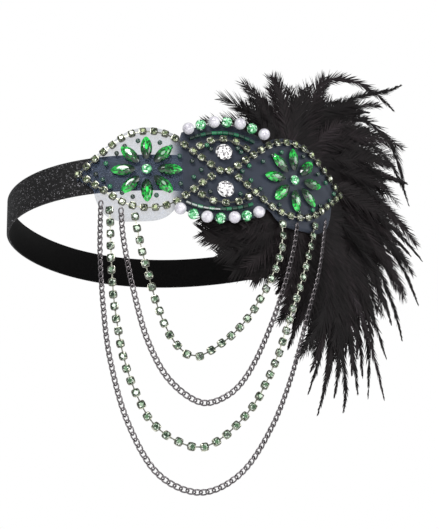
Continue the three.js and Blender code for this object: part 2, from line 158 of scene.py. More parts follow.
TABLE_STEPS = 2880
TABLE_ANGLES = np.linspace(-1.5 * math.pi, 0.5 * math.pi, TABLE_STEPS + 1)


def plan_points(angle, depth=0.0):
    radius = HEAD_RADIUS * (1 + HEAD_WIDENING * np.cos(2 * angle) - HEAD_FLATTENING * np.sin(3 * angle))
    slope = HEAD_RADIUS * (-2 * HEAD_WIDENING * np.sin(2 * angle) - 3 * HEAD_FLATTENING * np.cos(3 * angle))
    x, y = radius * np.cos(angle), radius * np.sin(angle)
    dx, dy = slope * np.cos(angle) - y, slope * np.sin(angle) + x
    length = np.hypot(dx, dy)
    return x + depth * dy / length, y - depth * dx / length


def arc_table():
    x, y = plan_points(TABLE_ANGLES)
    lengths = np.concatenate([[0.0], np.cumsum(np.hypot(np.diff(x), np.diff(y)))])
    return lengths - np.interp(-0.5 * math.pi, TABLE_ANGLES, lengths)


TABLE_LENGTHS = arc_table()


def face(s, z, depth):
    s, z, depth = np.broadcast_arrays(np.asarray(s, float), np.asarray(z, float), np.asarray(depth, float))
    held = np.minimum(s, PLUME_BEND_S)
    x, y = plan_points(np.interp(held, TABLE_LENGTHS, TABLE_ANGLES), depth)
    past = s - held
    heading = math.radians(PLUME_HEADING)
    return np.stack([x + past * math.cos(heading), y + past * math.sin(heading), z], axis=-1)


def net_back(s):
    share = np.clip((np.asarray(s, float) - SLOT_START) / (SLOT_END - SLOT_START), 0, 1)
    return CLEARANCE + PLUME_SLOT * share * share * (3 - 2 * share)


def net_front(s):
    return net_back(s) + NET_THICKNESS


def seat(s, z, lift=0.0, turn=0.0, depth=None):
    """Matrix of a seat: X along the face, Y up and Z out, turned about Z."""
    along = face(s + 0.5, z, net_front(s + 0.5)) - face(s - 0.5, z, net_front(s - 0.5))
    x = Vector(along).normalized()
    y = Vector((0, 0, 1))
    out = x.cross(y).normalized()
    base = net_front(s) + CLEARANCE + lift if depth is None else depth + lift
    axes = Matrix((x, out.cross(x), out)).transposed().to_4x4()
    return Matrix.Translation(Vector(face(s, z, base))) @ axes @ Matrix.Rotation(turn, 4, "Z")


def lens_height(distance):
    x = min(abs(distance), LENS_HALF_LENGTH)
    drop = LENS_HALF_HEIGHT - LENS_CROWN_RADIUS
    to_tip = math.hypot(LENS_HALF_LENGTH, drop)
    slope = math.asin(LENS_CROWN_RADIUS / to_tip) - math.atan2(-drop, LENS_HALF_LENGTH)
    if x < LENS_CROWN_RADIUS * math.sin(slope):
        return math.sqrt(LENS_CROWN_RADIUS ** 2 - x ** 2) + drop
    return (LENS_HALF_LENGTH - x) * math.tan(slope)


def bead_row_height(s):
    return BEAD_ROW_TOP - BEAD_ROW_RADIUS + math.sqrt(BEAD_ROW_RADIUS ** 2 - s ** 2)


CURVE_STEPS = 40
LENGTH_STEPS = 400


def smooth_path(points, count):
    """Points at equal steps along a smooth curve through the given ones."""
    p = np.array(points, float)
    ends = np.vstack([2 * p[0] - p[1], p, 2 * p[-1] - p[-2]])
    t = np.linspace(0, 1, CURVE_STEPS, endpoint=False)[:, None]
    pieces = []
    for a, b, c, d in zip(ends[:-3], ends[1:-2], ends[2:-1], ends[3:]):
        pieces.append(0.5 * (2 * b + (c - a) * t + (2 * a - 5 * b + 4 * c - d) * t ** 2
                             + (3 * b - a - 3 * c + d) * t ** 3))
    dense = np.vstack(pieces + [p[-1:]])
    length = np.concatenate([[0], np.cumsum(np.linalg.norm(np.diff(dense, axis=0), axis=1))])
    wanted = np.linspace(0, length[-1], count)
    return np.stack([np.interp(wanted, length, column) for column in dense.T], axis=-1)


def path_length(points):
    p = smooth_path(points, LENGTH_STEPS)
    return float(np.linalg.norm(np.diff(p, axis=0), axis=1).sum())


# Colour and node helpers


def colour(code):
    """An sRGB hex colour as linear values."""
    channels = [int(code[i:i + 2], 16) / 255 for i in (1, 3, 5)]
    return [c / 12.92 if c <= 0.04045 else ((c + 0.055) / 1.055) ** 2.4 for c in channels] + [1.0]


def set_stops(ramp, stops):
    """Each stop is a place on the ramp with a hex colour or a grey."""
    while len(ramp.elements) < len(stops):
        ramp.elements.new(0.5)
    for element, (position, value) in zip(ramp.elements, stops):
        element.position = position
        element.color = colour(value) if isinstance(value, str) else (value, value, value, 1)


def link(tree, made, links):
    """Link sockets, by name or number, to an output or to a node's first output in use."""
    for socket, source in links.items():
        if isinstance(source, bpy.types.Node):
            source = next(output for output in source.outputs if output.enabled)
        tree.links.new(source, made.inputs[socket])


def node(tree, kind, settings=None, links=None):
    """A node with its settings, which may be a ramp's stops, and its links."""
    made = tree.nodes.new(kind)
    for name, value in (settings or {}).items():
        if name == "stops":
            set_stops(made.color_ramp, value)
        elif isinstance(name, int) or name in made.inputs.keys():
            made.inputs[name].default_value = value
        else:
            setattr(made, name, value)
    link(tree, made, links or {})
    return made


def new_material(name, **sockets):
    material = bpy.data.materials.new(name)
    material.use_nodes = True
    shader = material.node_tree.nodes["Principled BSDF"]
    for socket, value in sockets.items():
        shader.inputs[socket.replace("_", " ")].default_value = value
    return material, material.node_tree, shader


# Sizes of the patterns in the finishes; the net's weave is finer than can show and is drawn coarser

GLITTER_FLAKE = 0.42
GLITTER_RELIEF = 0.15
KNIT_STITCH = 0.9
PILE_TUFT = 1.1
PILE_RELIEF = 0.2
NET_CLOUD = 7.0
NET_WEAVE = 0.8
PLATING_PATCH = 0.7
NACRE_SWIRL = 2.5


# Materials


def glitter_elastic():
    # Knitted polyester elastic with glued glitter: black with scattered silver sparks
    material, tree, shader = new_material("glitter_knit_elastic", Roughness=0.66, Specular_IOR_Level=0.2)
    where = node(tree, "ShaderNodeTexCoord").outputs["Object"]
    flakes = node(tree, "ShaderNodeTexVoronoi", {"Scale": 1 / (GLITTER_FLAKE * MM)}, {"Vector": where})
    spark = node(tree, "ShaderNodeValToRGB", {"stops": [(0.0, 0.0), (0.80, 0.0), (0.90, 0.35), (1.0, 1.0)]},
                 {"Fac": flakes.outputs["Color"]})
    knit = node(tree, "ShaderNodeTexNoise", {"Scale": 1 / (KNIT_STITCH * MM), "Detail": 3.0},
                {"Vector": where})
    ground = node(tree, "ShaderNodeValToRGB", {"stops": [(0.3, "#030303"), (0.75, "#141314")]}, {"Fac": knit})
    mixed = node(tree, "ShaderNodeMix", {"data_type": "RGBA", "B": colour("#a8a6aa")},
                 {"Factor": spark, "A": ground})
    bump = node(tree, "ShaderNodeBump", {"Strength": 0.5, "Distance": GLITTER_RELIEF * MM},
                {"Height": flakes.outputs["Distance"]})
    link(tree, shader, {"Base Color": mixed, "Normal": bump})
    return material


def plush_elastic():
    # Plush inner face of the elastic: a dull black pile that lightens a little at grazing angles
    material, tree, shader = new_material("black_plush_elastic", Roughness=0.95, Sheen_Weight=0.02,
                                          Sheen_Roughness=0.5, Specular_IOR_Level=0.06)
    where = node(tree, "ShaderNodeTexCoord").outputs["Object"]
    pile = node(tree, "ShaderNodeTexNoise", {"Scale": 1 / (PILE_TUFT * MM), "Detail": 4.0},
                {"Vector": where})
    shade = node(tree, "ShaderNodeValToRGB", {"stops": [(0.3, "#020202"), (0.8, "#090808")]}, {"Fac": pile})
    bump = node(tree, "ShaderNodeBump", {"Strength": 0.4, "Distance": PILE_RELIEF * MM}, {"Height": pile})
    link(tree, shader, {"Base Color": shade, "Normal": bump})
    return material


def nylon_organza():
    # Sheer smoky nylon organza: what lies behind it shows through, greyed and slightly blue
    material, tree, shader = new_material("smoky_nylon_organza", Roughness=0.55, Specular_IOR_Level=0.3,
                                          Sheen_Weight=0.1)
    where = node(tree, "ShaderNodeTexCoord").outputs["Object"]
    cloud = node(tree, "ShaderNodeTexNoise", {"Scale": 1 / (NET_CLOUD * MM), "Detail": 4.0, "Roughness": 0.6},
                 {"Vector": where})
    tint = node(tree, "ShaderNodeValToRGB", {"stops": [(0.25, "#37445a"), (0.75, "#57667f")]}, {"Fac": cloud})
    darker = node(tree, "ShaderNodeAttribute", {"attribute_name": "darker"}).outputs["Fac"]
    # Towards the plume the net is mixed to a dark slate and made almost opaque, by the darker value
    darkened = node(tree, "ShaderNodeMix", {"data_type": "RGBA", "B": colour("#1b212d")},
                {"Factor": darker, "A": tint})
    thread = node(tree, "ShaderNodeTexNoise", {"Scale": 1 / (NET_WEAVE * MM), "Detail": 2.0},
                  {"Vector": where})
    weave = node(tree, "ShaderNodeValToRGB", {"stops": [(0.3, 0.19), (0.7, 0.27)]}, {"Fac": thread})
    cover = node(tree, "ShaderNodeMath", {"operation": "MAXIMUM"}, {0: weave, 1: darker})
    link(tree, shader, {"Base Color": darkened, "Alpha": cover})
    return material


def cut_glass(name, glow, stops):
    # Foil-backed cut glass: each facet gets its own painted reflection, from a painted dark shade to a
    # painted white flash, and the glass glows faintly in the same colours, which is painted light too
    material, tree, shader = new_material(name, Roughness=0.12, IOR=1.54, Coat_Weight=0.2,
                                          Coat_Roughness=0.05, Emission_Strength=glow)
    facet = node(tree, "ShaderNodeAttribute", {"attribute_name": "facet"}).outputs["Fac"]
    tone = node(tree, "ShaderNodeAttribute", {"attribute_name": "tone"}).outputs["Fac"]
    total = node(tree, "ShaderNodeMath", {"operation": "ADD"}, {0: facet, 1: tone})
    part = node(tree, "ShaderNodeMath", {"operation": "FRACT"}, {0: total})
    shade = node(tree, "ShaderNodeValToRGB", {"stops": stops}, {"Fac": part})
    link(tree, shader, {"Base Color": shade, "Emission Color": shade})
    return material


def plated_metal(name, code, roughness):
    # Brass or steel under a thin bright plating, with tiny uneven patches from the tumbling
    material, tree, shader = new_material(name, Metallic=1.0)
    where = node(tree, "ShaderNodeTexCoord").outputs["Object"]
    grain = node(tree, "ShaderNodeTexNoise", {"Scale": 1 / (PLATING_PATCH * MM), "Detail": 2.0},
                 {"Vector": where})
    bright = colour(code)
    dull = [c * 0.55 for c in bright[:3]] + [1.0]
    mixed = node(tree, "ShaderNodeMix", {"data_type": "RGBA", "A": dull, "B": bright}, {"Factor": grain})
    rough = node(tree, "ShaderNodeMapRange", {"To Min": roughness * 0.7, "To Max": roughness * 1.4},
                 {"Value": grain})
    link(tree, shader, {"Base Color": mixed, "Roughness": rough})
    return material


def pearl_coat():
    # Acrylic bead under nacre lacquer: creamy white with a lavender cast and a soft gloss
    material, tree, shader = new_material("nacre_lacquered_acrylic", Roughness=0.24, IOR=1.5, Coat_Weight=0.8,
                                          Coat_Roughness=0.08, Sheen_Weight=0.15)
    where = node(tree, "ShaderNodeTexCoord").outputs["Object"]
    swirl = node(tree, "ShaderNodeTexNoise", {"Scale": 1 / (NACRE_SWIRL * MM), "Detail": 3.0},
                 {"Vector": where})
    stops = [(0.3, "#9a969f"), (0.55, "#bbb8bf"), (0.8, "#d6d4da")]
    shade = node(tree, "ShaderNodeValToRGB", {"stops": stops}, {"Fac": swirl})
    link(tree, shader, {"Base Color": shade})
    return material


def toned(name, stops, **sockets):
    """A finish whose shade differs from piece to piece, by the piece's tone."""
    material, tree, shader = new_material(name, **sockets)
    tone = node(tree, "ShaderNodeAttribute", {"attribute_name": "tone"}).outputs["Fac"]
    link(tree, shader, {"Base Color": node(tree, "ShaderNodeValToRGB", {"stops": stops}, {"Fac": tone})})
    return material


# Painted facet colours of each glass, from painted shade up to a painted white or grey highlight
EMERALD = cut_glass("foiled_emerald_acrylic", 0.12, [
    (0.0, "#04120a"), (0.3, "#08240f"), (0.52, "#0d5a23"), (0.74, "#16a338"), (0.93, "#2bc850"),
    (1.0, "#7f8a84")])
PALE_GREEN = cut_glass("pale_green_cut_glass", 0.1, [
    (0.0, "#0b2f1c"), (0.3, "#226b3c"), (0.55, "#459a60"), (0.8, "#7fc392"), (1.0, "#eafaef")])
CRYSTAL = cut_glass("foiled_clear_crystal", 0.12, [
    (0.0, "#2a282a"), (0.22, "#5f5c5e"), (0.45, "#9b989a"), (0.75, "#dedcdb"), (1.0, "#ffffff")])
PERIDOT = cut_glass("peridot_chain_glass", 0.05, [
    (0.0, "#0b0f09"), (0.35, "#20281a"), (0.62, "#4d5b38"), (0.84, "#a3ad84"), (1.0, "#f8f9f2")])
SWAG_GLASS = cut_glass("green_chain_glass", 0.05, [
    (0.0, "#0d140d"), (0.35, "#223324"), (0.6, "#4c6b4c"), (0.84, "#a3b59e"), (1.0, "#f6f8f4")])
CUP_METAL = plated_metal("gunmetal_plated_brass", "#8b8c80", 0.26)
CHAIN_METAL = plated_metal("nickel_plated_steel", "#6e696b", 0.27)
ELASTIC = glitter_elastic()
PLUSH = plush_elastic()
ORGANZA = nylon_organza()
NACRE = pearl_coat()
# Tiny lined glass beads: bottle green, some of them almost black
BEAD_GLASS = toned("bottle_green_bead_glass", [(0.0, "#03160f"), (0.6, "#07382a"), (1.0, "#11663f")],
                   Roughness=0.08, IOR=1.52, Coat_Weight=0.5)
# Dyed feather barbs: near black keratin with a faint brown and violet gloss
FEATHER = toned("dyed_black_feather", [
    (0.0, "#070606"), (0.55, "#120e0f"), (0.85, "#1e181a"), (1.0, "#2b2529")],
    Roughness=0.58, Specular_IOR_Level=0.12, Sheen_Weight=0.02, Sheen_Roughness=0.4)


# Mesh helpers


def mesh_object(name, points, faces, materials=(), smooth=False):
    """A mesh piece from points in millimetres; faces is a list of index tuples."""
    mesh = bpy.data.meshes.new(name)
    mesh.from_pydata((np.asarray(points, float) * MM).tolist(), [], faces)
    for material in materials:
        mesh.materials.append(material)
    mesh.polygons.foreach_set("use_smooth", [smooth] * len(mesh.polygons))
    mesh.update()
    made = bpy.data.objects.new(name, mesh)
    bpy.context.scene.collection.objects.link(made)
    return made


def corners(low, high, sides):
    """Two points on one ring and the two over them on another, for each side."""
    for k in range(sides):
        after = (k + 1) % sides
        yield low * sides + k, low * sides + after, high * sides + k, high * sides + after


def lids(rings, sides):
    """The bottom face, turned downwards, and the top face of a stack of rings."""
    return [tuple(reversed(range(sides))), tuple((rings - 1) * sides + k for k in range(sides))]


def ring_faces(rings, sides, closed_ring=False):
    faces = []
    for r in range(rings if closed_ring else rings - 1):
        faces += [(a, b, d, c) for a, b, c, d in corners(r, (r + 1) % rings, sides)]
    return faces if closed_ring else faces + lids(rings, sides)


def keep_values(piece, name, values, kind="FLOAT", domain="POINT"):
    """One value for each point or face, kept on the piece's mesh for its material or the scatter tree."""
    kept = piece.data.attributes.new(name, kind, domain)
    kept.data.foreach_set("vector" if kind == "FLOAT_VECTOR" else "value", values)


def turned_stone(name, profile, sides, seed):
    """A round cut stone about Z: rings half a step apart, and facets that each get a random value for their
    painted reflection.
    """
    points, faces = [], []
    for row, (radius, height) in enumerate(profile):
        turn = math.pi / sides if row % 2 else 0.0
        for k in range(sides):
            angle = 2 * math.pi * k / sides + turn
            points.append((radius * math.cos(angle), radius * math.sin(angle), height))
    for row in range(len(profile) - 1):
        for a, b, c, d in corners(row, row + 1, sides):
            faces += [(a, b, d), (a, d, c)] if row % 2 else [(a, b, c), (b, d, c)]
    made = mesh_object(name, points, faces + lids(len(profile), sides))
    rng = random.Random(seed)
    keep_values(made, "facet", [rng.random() for _ in made.data.polygons], domain="FACE")
    return made


# The scatter tree: one prototype on every point, turned and sized by the point's own values


def scatter_tree():
    tree = bpy.data.node_groups.new("pieces_on_seats", "GeometryNodeTree")
    for title, kind in (("Seats", "Geometry"), ("Piece", "Object"), ("Finish", "Material"), ("Size", "Float"),
                        ("Loose turn", "Float"), ("Seed", "Int")):
        tree.interface.new_socket(title, in_out="INPUT", socket_type="NodeSocket" + kind)
    tree.interface.new_socket("Pieces", in_out="OUTPUT", socket_type="NodeSocketGeometry")
    given = node(tree, "NodeGroupInput").outputs
    turn = node(tree, "GeometryNodeInputNamedAttribute", {"data_type": "FLOAT_VECTOR", "Name": "turn"})
    size = node(tree, "GeometryNodeInputNamedAttribute", {"data_type": "FLOAT_VECTOR", "Name": "size"})
    facing = node(tree, "FunctionNodeEulerToRotation", links={0: turn})
    least = node(tree, "ShaderNodeMath", {"operation": "MULTIPLY", 1: -1.0}, {0: given["Loose turn"]})
    loose = node(tree, "FunctionNodeRandomValue", {"data_type": "FLOAT"},
                 {"Min": least, "Max": given["Loose turn"], "Seed": given["Seed"]})
    about = node(tree, "ShaderNodeCombineXYZ", links={"Z": loose})
    wobble = node(tree, "FunctionNodeEulerToRotation", links={0: about})
    turned = node(tree, "FunctionNodeRotateRotation", {"rotation_space": "LOCAL"}, {0: facing, 1: wobble})
    scaled = node(tree, "ShaderNodeVectorMath", {"operation": "SCALE"}, {0: size, "Scale": given["Size"]})
    shape = node(tree, "GeometryNodeObjectInfo", links={"Object": given["Piece"]}).outputs["Geometry"]
    placed = node(tree, "GeometryNodeInstanceOnPoints",
                  links={"Points": given["Seats"], "Instance": shape, "Rotation": turned, "Scale": scaled})
    real = node(tree, "GeometryNodeRealizeInstances", links={0: placed})
    coated = node(tree, "GeometryNodeSetMaterial", links={"Geometry": real, "Material": given["Finish"]})
    node(tree, "NodeGroupOutput", links={0: coated})
    return tree


SCATTER = scatter_tree()


def scatter(name, seats, prototype, finish, tones=None, sizes=None, loose=0.0, seed=1):
    """One plain mesh of the prototype at each seat. Seats are matrices in millimetres."""
    points = [m.to_translation() for m in seats]
    holder = mesh_object(name + "_seats", points, [])
    rng = random.Random(seed)
    sizes = sizes or [(1, 1, 1)] * len(seats)
    keep_values(holder, "turn", [v for m in seats for v in m.to_euler()], "FLOAT_VECTOR")
    keep_values(holder, "size", [v for row in sizes for v in row], "FLOAT_VECTOR")
    keep_values(holder, "tone", tones or [rng.random() for _ in seats])
    modifier = holder.modifiers.new("pieces", "NODES")
    modifier.node_group = SCATTER
    values = {"Piece": prototype, "Finish": finish, "Size": 1.0, "Loose turn": loose, "Seed": seed}
    for item in SCATTER.interface.items_tree:
        if item.in_out == "INPUT" and item.name in values:
            modifier[item.identifier] = values[item.name]
    evaluated = holder.evaluated_get(bpy.context.evaluated_depsgraph_get())
    mesh = bpy.data.meshes.new_from_object(evaluated)
    mesh.name = name
    if not mesh.materials:
        mesh.materials.append(finish)
    made = bpy.data.objects.new(name, mesh)
    bpy.context.scene.collection.objects.link(made)
    bpy.data.objects.remove(holder)
    return made


def joined(name, pieces):
    """Several plain meshes as one piece that keeps each one's materials."""
    bpy.ops.object.select_all(action="DESELECT")
    for piece in pieces:
        piece.select_set(True)
    bpy.context.view_layer.objects.active = pieces[0]
    bpy.ops.object.join()
    pieces[0].name = name
    pieces[0].data.name = name
    return pieces[0]


def finished(piece, slot, *nodes):
    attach(piece, "root")
    if nodes:
        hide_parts(*nodes)


def forget(*prototypes):
    for prototype in prototypes:
        bpy.data.objects.remove(prototype)


def set_on_seats(name, seats, prototype, finish, slot, *nodes, **how):
    """One finished piece of the prototype at each seat; the prototype itself goes."""
    finished(scatter(name, seats, prototype, finish, **how), slot, *nodes)
    forget(prototype)


# Band


def make_band():
    sections = 320
    edge = 0.45
    half, thick = BAND_WIDTH / 2, BAND_THICKNESS
    profile = [(0, -half + edge), (0, -half / 2), (0, 0), (0, half / 2), (0, half - edge), (-edge, half),
               (-thick + edge, half), (-thick, half - edge), (-thick, 0), (-thick, -half + edge),
               (-thick + edge, -half), (-edge, -half)]
    angle = np.linspace(0, 2 * math.pi, sections, endpoint=False)
    rings = []
    for depth, z in profile:
        x, y = plan_points(angle, depth)
        rings.append(np.stack([x, y, np.full(sections, float(z))], axis=-1))
    points = np.stack(rings, axis=1).reshape(-1, 3)
    made = mesh_object("glitter_band", points, ring_faces(sections, len(profile), closed_ring=True),
                       (ELASTIC, PLUSH), smooth=True)
    inner = range(6, 10)
    for i, polygon in enumerate(made.data.polygons):
        polygon.material_index = 1 if i % len(profile) in inner else 0
    finished(made, "glitter_elastic", "band")


# Net


# Between these places along the face the net turns from pale and sheer to dark and dense

DARK_NET_START = -29.0
DARK_NET_END = -20.0
DARK_NET_COVER = 0.96


def net_outline(s):
    lens = lens_height(abs(s) - LENS_OFFSET) + NET_MARGIN
    row = bead_row_height(s) if abs(s) < 3.2 * BEAD_ROW_PITCH else 0
    share = abs(abs(s) - NET_FLAP_OFFSET) / NET_FLAP_HALF_LENGTH
    flap = NET_FLAP_DEPTH * math.sqrt(max(0, 1 - share ** 3.5))
    return RISE + max(lens, row), RISE - max(lens, row, flap)


def make_net():
    columns, rows = 150, 14
    sunk, ripple = 0.35, 0.12
    half_length = LENS_OFFSET + LENS_HALF_LENGTH + NET_MARGIN * 0.6
    sheet_thickness = 0.25
    s_values = np.linspace(-half_length, half_length, columns + 1)
    points = []
    for layer in (0, 1):
        for s in s_values:
            top, bottom = net_outline(s)
            z = np.linspace(bottom, top, rows + 1)
            wave = ripple * np.sin(z * 0.8 + s * 0.35) * np.sin(s * 0.5)
            depth = net_front(s) - sunk + wave - layer * sheet_thickness
            points.append(face(s, z, depth))
    points = np.vstack(points)
    stride, layer_size = rows + 1, (columns + 1) * (rows + 1)
    faces = []
    for c in range(columns):
        for r in range(rows):
            a, b = c * stride + r, c * stride + r + 1
            faces.append((a, a + stride, b + stride, b))
            faces.append((a + layer_size, b + layer_size, b + stride + layer_size, a + stride + layer_size))
    for c in range(columns):
        low, high = c * stride, c * stride + rows
        faces.append((low, low + layer_size, low + stride + layer_size, low + stride))
        faces.append((high, high + stride, high + stride + layer_size, high + layer_size))
    for r in range(rows):
        last = columns * stride
        faces.append((r, r + 1, r + 1 + layer_size, r + layer_size))
        faces.append((last + r, last + r + layer_size, last + r + 1 + layer_size, last + r + 1))
    made = mesh_object("organza_net", points, faces, (ORGANZA,), smooth=True)
    along = np.repeat(np.tile(s_values, 2), rows + 1)
    share = np.clip((along - DARK_NET_START) / (DARK_NET_END - DARK_NET_START), 0, 1)
    keep_values(made, "darker", share * DARK_NET_COVER)
    finished(made, "organza_net", "net_backing")


# Stones in cups


def cup_prototypes(cup, seed):
    """An eight-sided stone, and the squarish stamped cup with four claws that holds it."""
    r = cup / 2
    crown = [(r * 0.74, 0.9), (r * 0.84, 1.25), (r * 0.66, 1.75), (r * 0.42, 2.05)]
    stone = turned_stone("chain_stone", crown, 8, seed)
    sides, cup_height, claw_thickness = 16, 1.3, 0.22
    points = []
    rows = [(r * 0.55, 0.05), (r * 0.94, 0.1), (r, 0.5), (r, cup_height), (r * 0.86, 1.35), (r * 0.8, 0.9),
            (r * 0.5, 0.6)]
    for radius, height in rows:
        for k in range(sides):
            a = 2 * math.pi * k / sides
            square = 0.96 * radius / (math.cos(a) ** 4 + math.sin(a) ** 4) ** 0.25
            points.append((square * math.cos(a), square * math.sin(a), height))
    faces = ring_faces(len(rows), sides)
    for claw in range(4):
        a = math.pi / 4 + claw * math.pi / 2
        radial, side = Vector((math.cos(a), math.sin(a), 0)), Vector((-math.sin(a), math.cos(a), 0))
        base = len(points)
        for reach, height, width in ((r, 0.9, 0.45), (r, 1.7, 0.4), (r * 0.66, 2.0, 0.22)):
            bent = height > cup_height
            for across, lift in ((-1, 0.0), (1, 0.0), (1, claw_thickness), (-1, claw_thickness)):
                p = radial * (reach - (0 if bent else claw_thickness - lift)) + side * (across * width)
                points.append((p.x, p.y, height + (lift if bent else 0)))
        faces += [tuple(base + j for j in f) for f in ring_faces(3, 4)]
    metal = mesh_object("chain_cup", points, faces)
    return stone, metal


def link_prototype(cup, pitch):
    """A flat bar with a waist between two cups, lying along X from one cup's middle to the next."""
    r, half = cup / 2, pitch / 2
    low, high = 0.35, 0.75
    stations = [(-half + r * 0.7, 0.6), (-half + r * 1.05, 0.36), (0, 0.24), (half - r * 1.05, 0.36),
                (half - r * 0.7, 0.6)]
    points = []
    for x, w in stations:
        points += [(x, -w, low), (x, w, low), (x, w, high), (x, -w, high)]
    return mesh_object("chain_link_bar", points, ring_faces(len(stations), 4))


def chain_seats(places):
    """Seats along a chain: X towards the next stone."""
    seats = []
    for i, (s, z, depth) in enumerate(places):
        before, after = places[max(i - 1, 0)], places[min(i + 1, len(places) - 1)]
        seats.append(seat(s, z, depth=depth, turn=math.atan2(after[1] - before[1], after[0] - before[0])))
    return seats


def make_cup_chain(name, places, cup, pitch, glass, solid, seed, loose=0.06):
    stone, metal = cup_prototypes(cup, seed)
    bar = link_prototype(cup, pitch)
    seats = chain_seats(places)
    between = []
    for a, b in zip(seats[:-1], seats[1:]):
        pa, pb = a.to_translation(), b.to_translation()
        x = (pb - pa).normalized()
        out = (a.to_3x3() @ Vector((0, 0, 1)) + b.to_3x3() @ Vector((0, 0, 1))).normalized()
        y = out.cross(x).normalized()
        between.append(Matrix.Translation((pa + pb) / 2) @ Matrix((x, y, x.cross(y))).transposed().to_4x4())
    rng = random.Random(seed)
    lean = []
    for m in seats:
        nod, roll = rng.uniform(-loose, loose), rng.uniform(-loose, loose)
        lean.append(m @ Matrix.Rotation(nod, 4, "X") @ Matrix.Rotation(roll, 4, "Y"))
    tones = [rng.random() for _ in seats]
    pieces = [
        scatter(name + "_stones", lean, stone, glass, tones=tones, seed=seed),
        scatter(name + "_cups", lean, metal, CUP_METAL, tones=tones, seed=seed),
        scatter(name + "_bars", between, bar, CUP_METAL, seed=seed),
    ]
    forget(stone, metal, bar)
    finished(joined(name, pieces), "cup_chain", solid)


def spaced_places(points, pitch, depth_of):
    count = round(path_length(points) / pitch)
    path = smooth_path(points, count + 1)
    return [(float(s), float(z), float(depth_of(i / count, s))) for i, (s, z) in enumerate(path)]


def make_rims():
    crossing = (RIM_CUP + CLEARANCE) / 2
    inner = LENS_HALF_LENGTH - (crossing - (LENS_OFFSET - LENS_HALF_LENGTH))
    for side, name in ((-1, "left"), (1, "right")):
        over = [(side * (LENS_OFFSET + x), lens_height(x)) for x in np.linspace(-inner, LENS_HALF_LENGTH, 41)]
        under = [(s, -z) for s, z in reversed(over[:-1])]
        places = spaced_places(over + under, RIM_PITCH, lambda share, s: net_front(s) + CLEARANCE)
        places = [(s, z + RISE, depth) for s, z, depth in places[:-1]]
        make_cup_chain(f"{name}_lens_stones", places, RIM_CUP, RIM_PITCH, PERIDOT, f"{name}_lens_rim",
                       seed=11 + side)
    half = math.radians(EYE_ARC_HALF_ANGLE)
    count = round(2 * half * EYE_ARC_RADIUS / RIM_PITCH) + 1
    for sign, name in ((1, "upper"), (-1, "lower")):
        places = []
        for i in range(count):
            angle = -half + 2 * half * i / (count - 1)
            s = EYE_ARC_RADIUS * math.sin(angle)
            z = EYE_ARC_HEIGHT - EYE_ARC_RADIUS * (1 - math.cos(angle))
            places.append((s, RISE + sign * z, float(net_front(s)) + CLEARANCE))
        step = 2 * half * EYE_ARC_RADIUS / (count - 1)
        make_cup_chain(f"{name}_eye_stones", places, RIM_CUP, step, PERIDOT, f"{name}_eye_arc",
                       seed=15 + sign)


def swag_depths(route):
    first, last = route[0][0], route[-1][0]
    return lambda share, s: CLEARANCE + float(net_front(first)) * (1 - share) + float(net_front(last)) * share


def make_stone_swags():
    for seed, name in ((21, "inner_stone_swag"), (22, "outer_stone_swag")):
        route = SWAG_ROUTES[name]
        places = spaced_places(route, SWAG_PITCH, swag_depths(route))
        make_cup_chain(name + "_chain", places, SWAG_CUP, SWAG_PITCH, SWAG_GLASS, name, seed=seed, loose=0.16)


# Curb chain

CURB_PITCH = 3.05
CURB_TWIST = 26.0


def curb_link_prototype(pitch):
    """One oval link, its wire ring twisted so that it lies flat against its neighbours."""
    length, width, wire = pitch * 1.46, CURB_WIDTH * 0.9, 0.39
    around, sides = 14, 6
    points = []
    for i in range(around):
        a = 2 * math.pi * i / around
        rise = 0.42 * wire * math.sin(2 * a) * 2
        centre = Vector((length / 2 * math.cos(a), (width / 2) * math.sin(a), rise))
        radial = Vector((math.cos(a), math.sin(a), 0))
        for k in range(sides):
            b = 2 * math.pi * k / sides
            points.append(centre + radial * (wire * math.cos(b)) + Vector((0, 0, wire * math.sin(b))))
    return mesh_object("curb_link", points, ring_faces(around, sides, closed_ring=True), smooth=True)


def make_curb_swags():
    twist = math.radians(CURB_TWIST)
    for seed, name in ((31, "inner_curb_swag"), (32, "outer_curb_swag")):
        route = SWAG_ROUTES[name]
        places = spaced_places(route, CURB_PITCH, swag_depths(route))
        seats = [m @ Matrix.Translation((0, 0, CURB_WIDTH / 2)) @ Matrix.Rotation(twist, 4, "X")
                 for m in chain_seats(places)]
        set_on_seats(name + "_links", seats, curb_link_prototype(CURB_PITCH), CHAIN_METAL, "curb_chain", name,
                     seed=seed, loose=0.05)


# Flowers, crystals, pearls and beads


def navette_prototype(seed):
    """A boat-shaped cut stone: a long table, kite facets down to the girdle and a back."""
    around = 16
    half, wide = PETAL_LENGTH / 2, PETAL_WIDTH / 2

    def ring(share, height, turn=0.0):
        row = []
        for k in range(around):
            a = 2 * math.pi * (k + turn) / around
            pinch = abs(math.sin(a)) ** 1.25 * math.copysign(1, math.sin(a))
            sharp = 0.94 + 0.06 * abs(math.cos(a))
            row.append((half * share * math.cos(a) * sharp, wide * share * pinch, height))
        return row

    rows = [ring(0.72, 0.0), ring(0.98, 0.8), ring(1.0, 1.05), ring(0.74, PETAL_THICKNESS * 0.8, 0.5),
            ring(0.5, PETAL_THICKNESS), ring(0.24, PETAL_THICKNESS + 0.05)]
    points = [p for row in rows for p in row]
    faces = []
    for r in range(len(rows) - 1):
        for a, b, c, d in corners(r, r + 1, around):
            if r < 2:
                faces.append((a, b, d, c))
            elif r == 2:
                faces += [(a, b, c), (b, d, c)]
            else:
                faces += [(a, b, d), (a, d, c)]
    made = mesh_object("navette", points, faces + lids(len(rows), around))
    # Painted reflections and shade: facets are painted brighter towards the outer end and darker towards the
    # flower's middle, with a random spread, and the table mostly gets a painted grey flash
    rng = random.Random(seed)
    tones = [min(0.95, max(0.02, 0.42 + 0.36 * p.center.x / (half * MM) + rng.uniform(-0.26, 0.26)))
             for p in made.data.polygons]
    tones[-1] = rng.choice([0.99, 0.99, 0.9, 0.3])
    keep_values(made, "facet", tones, domain="FACE")
    return made


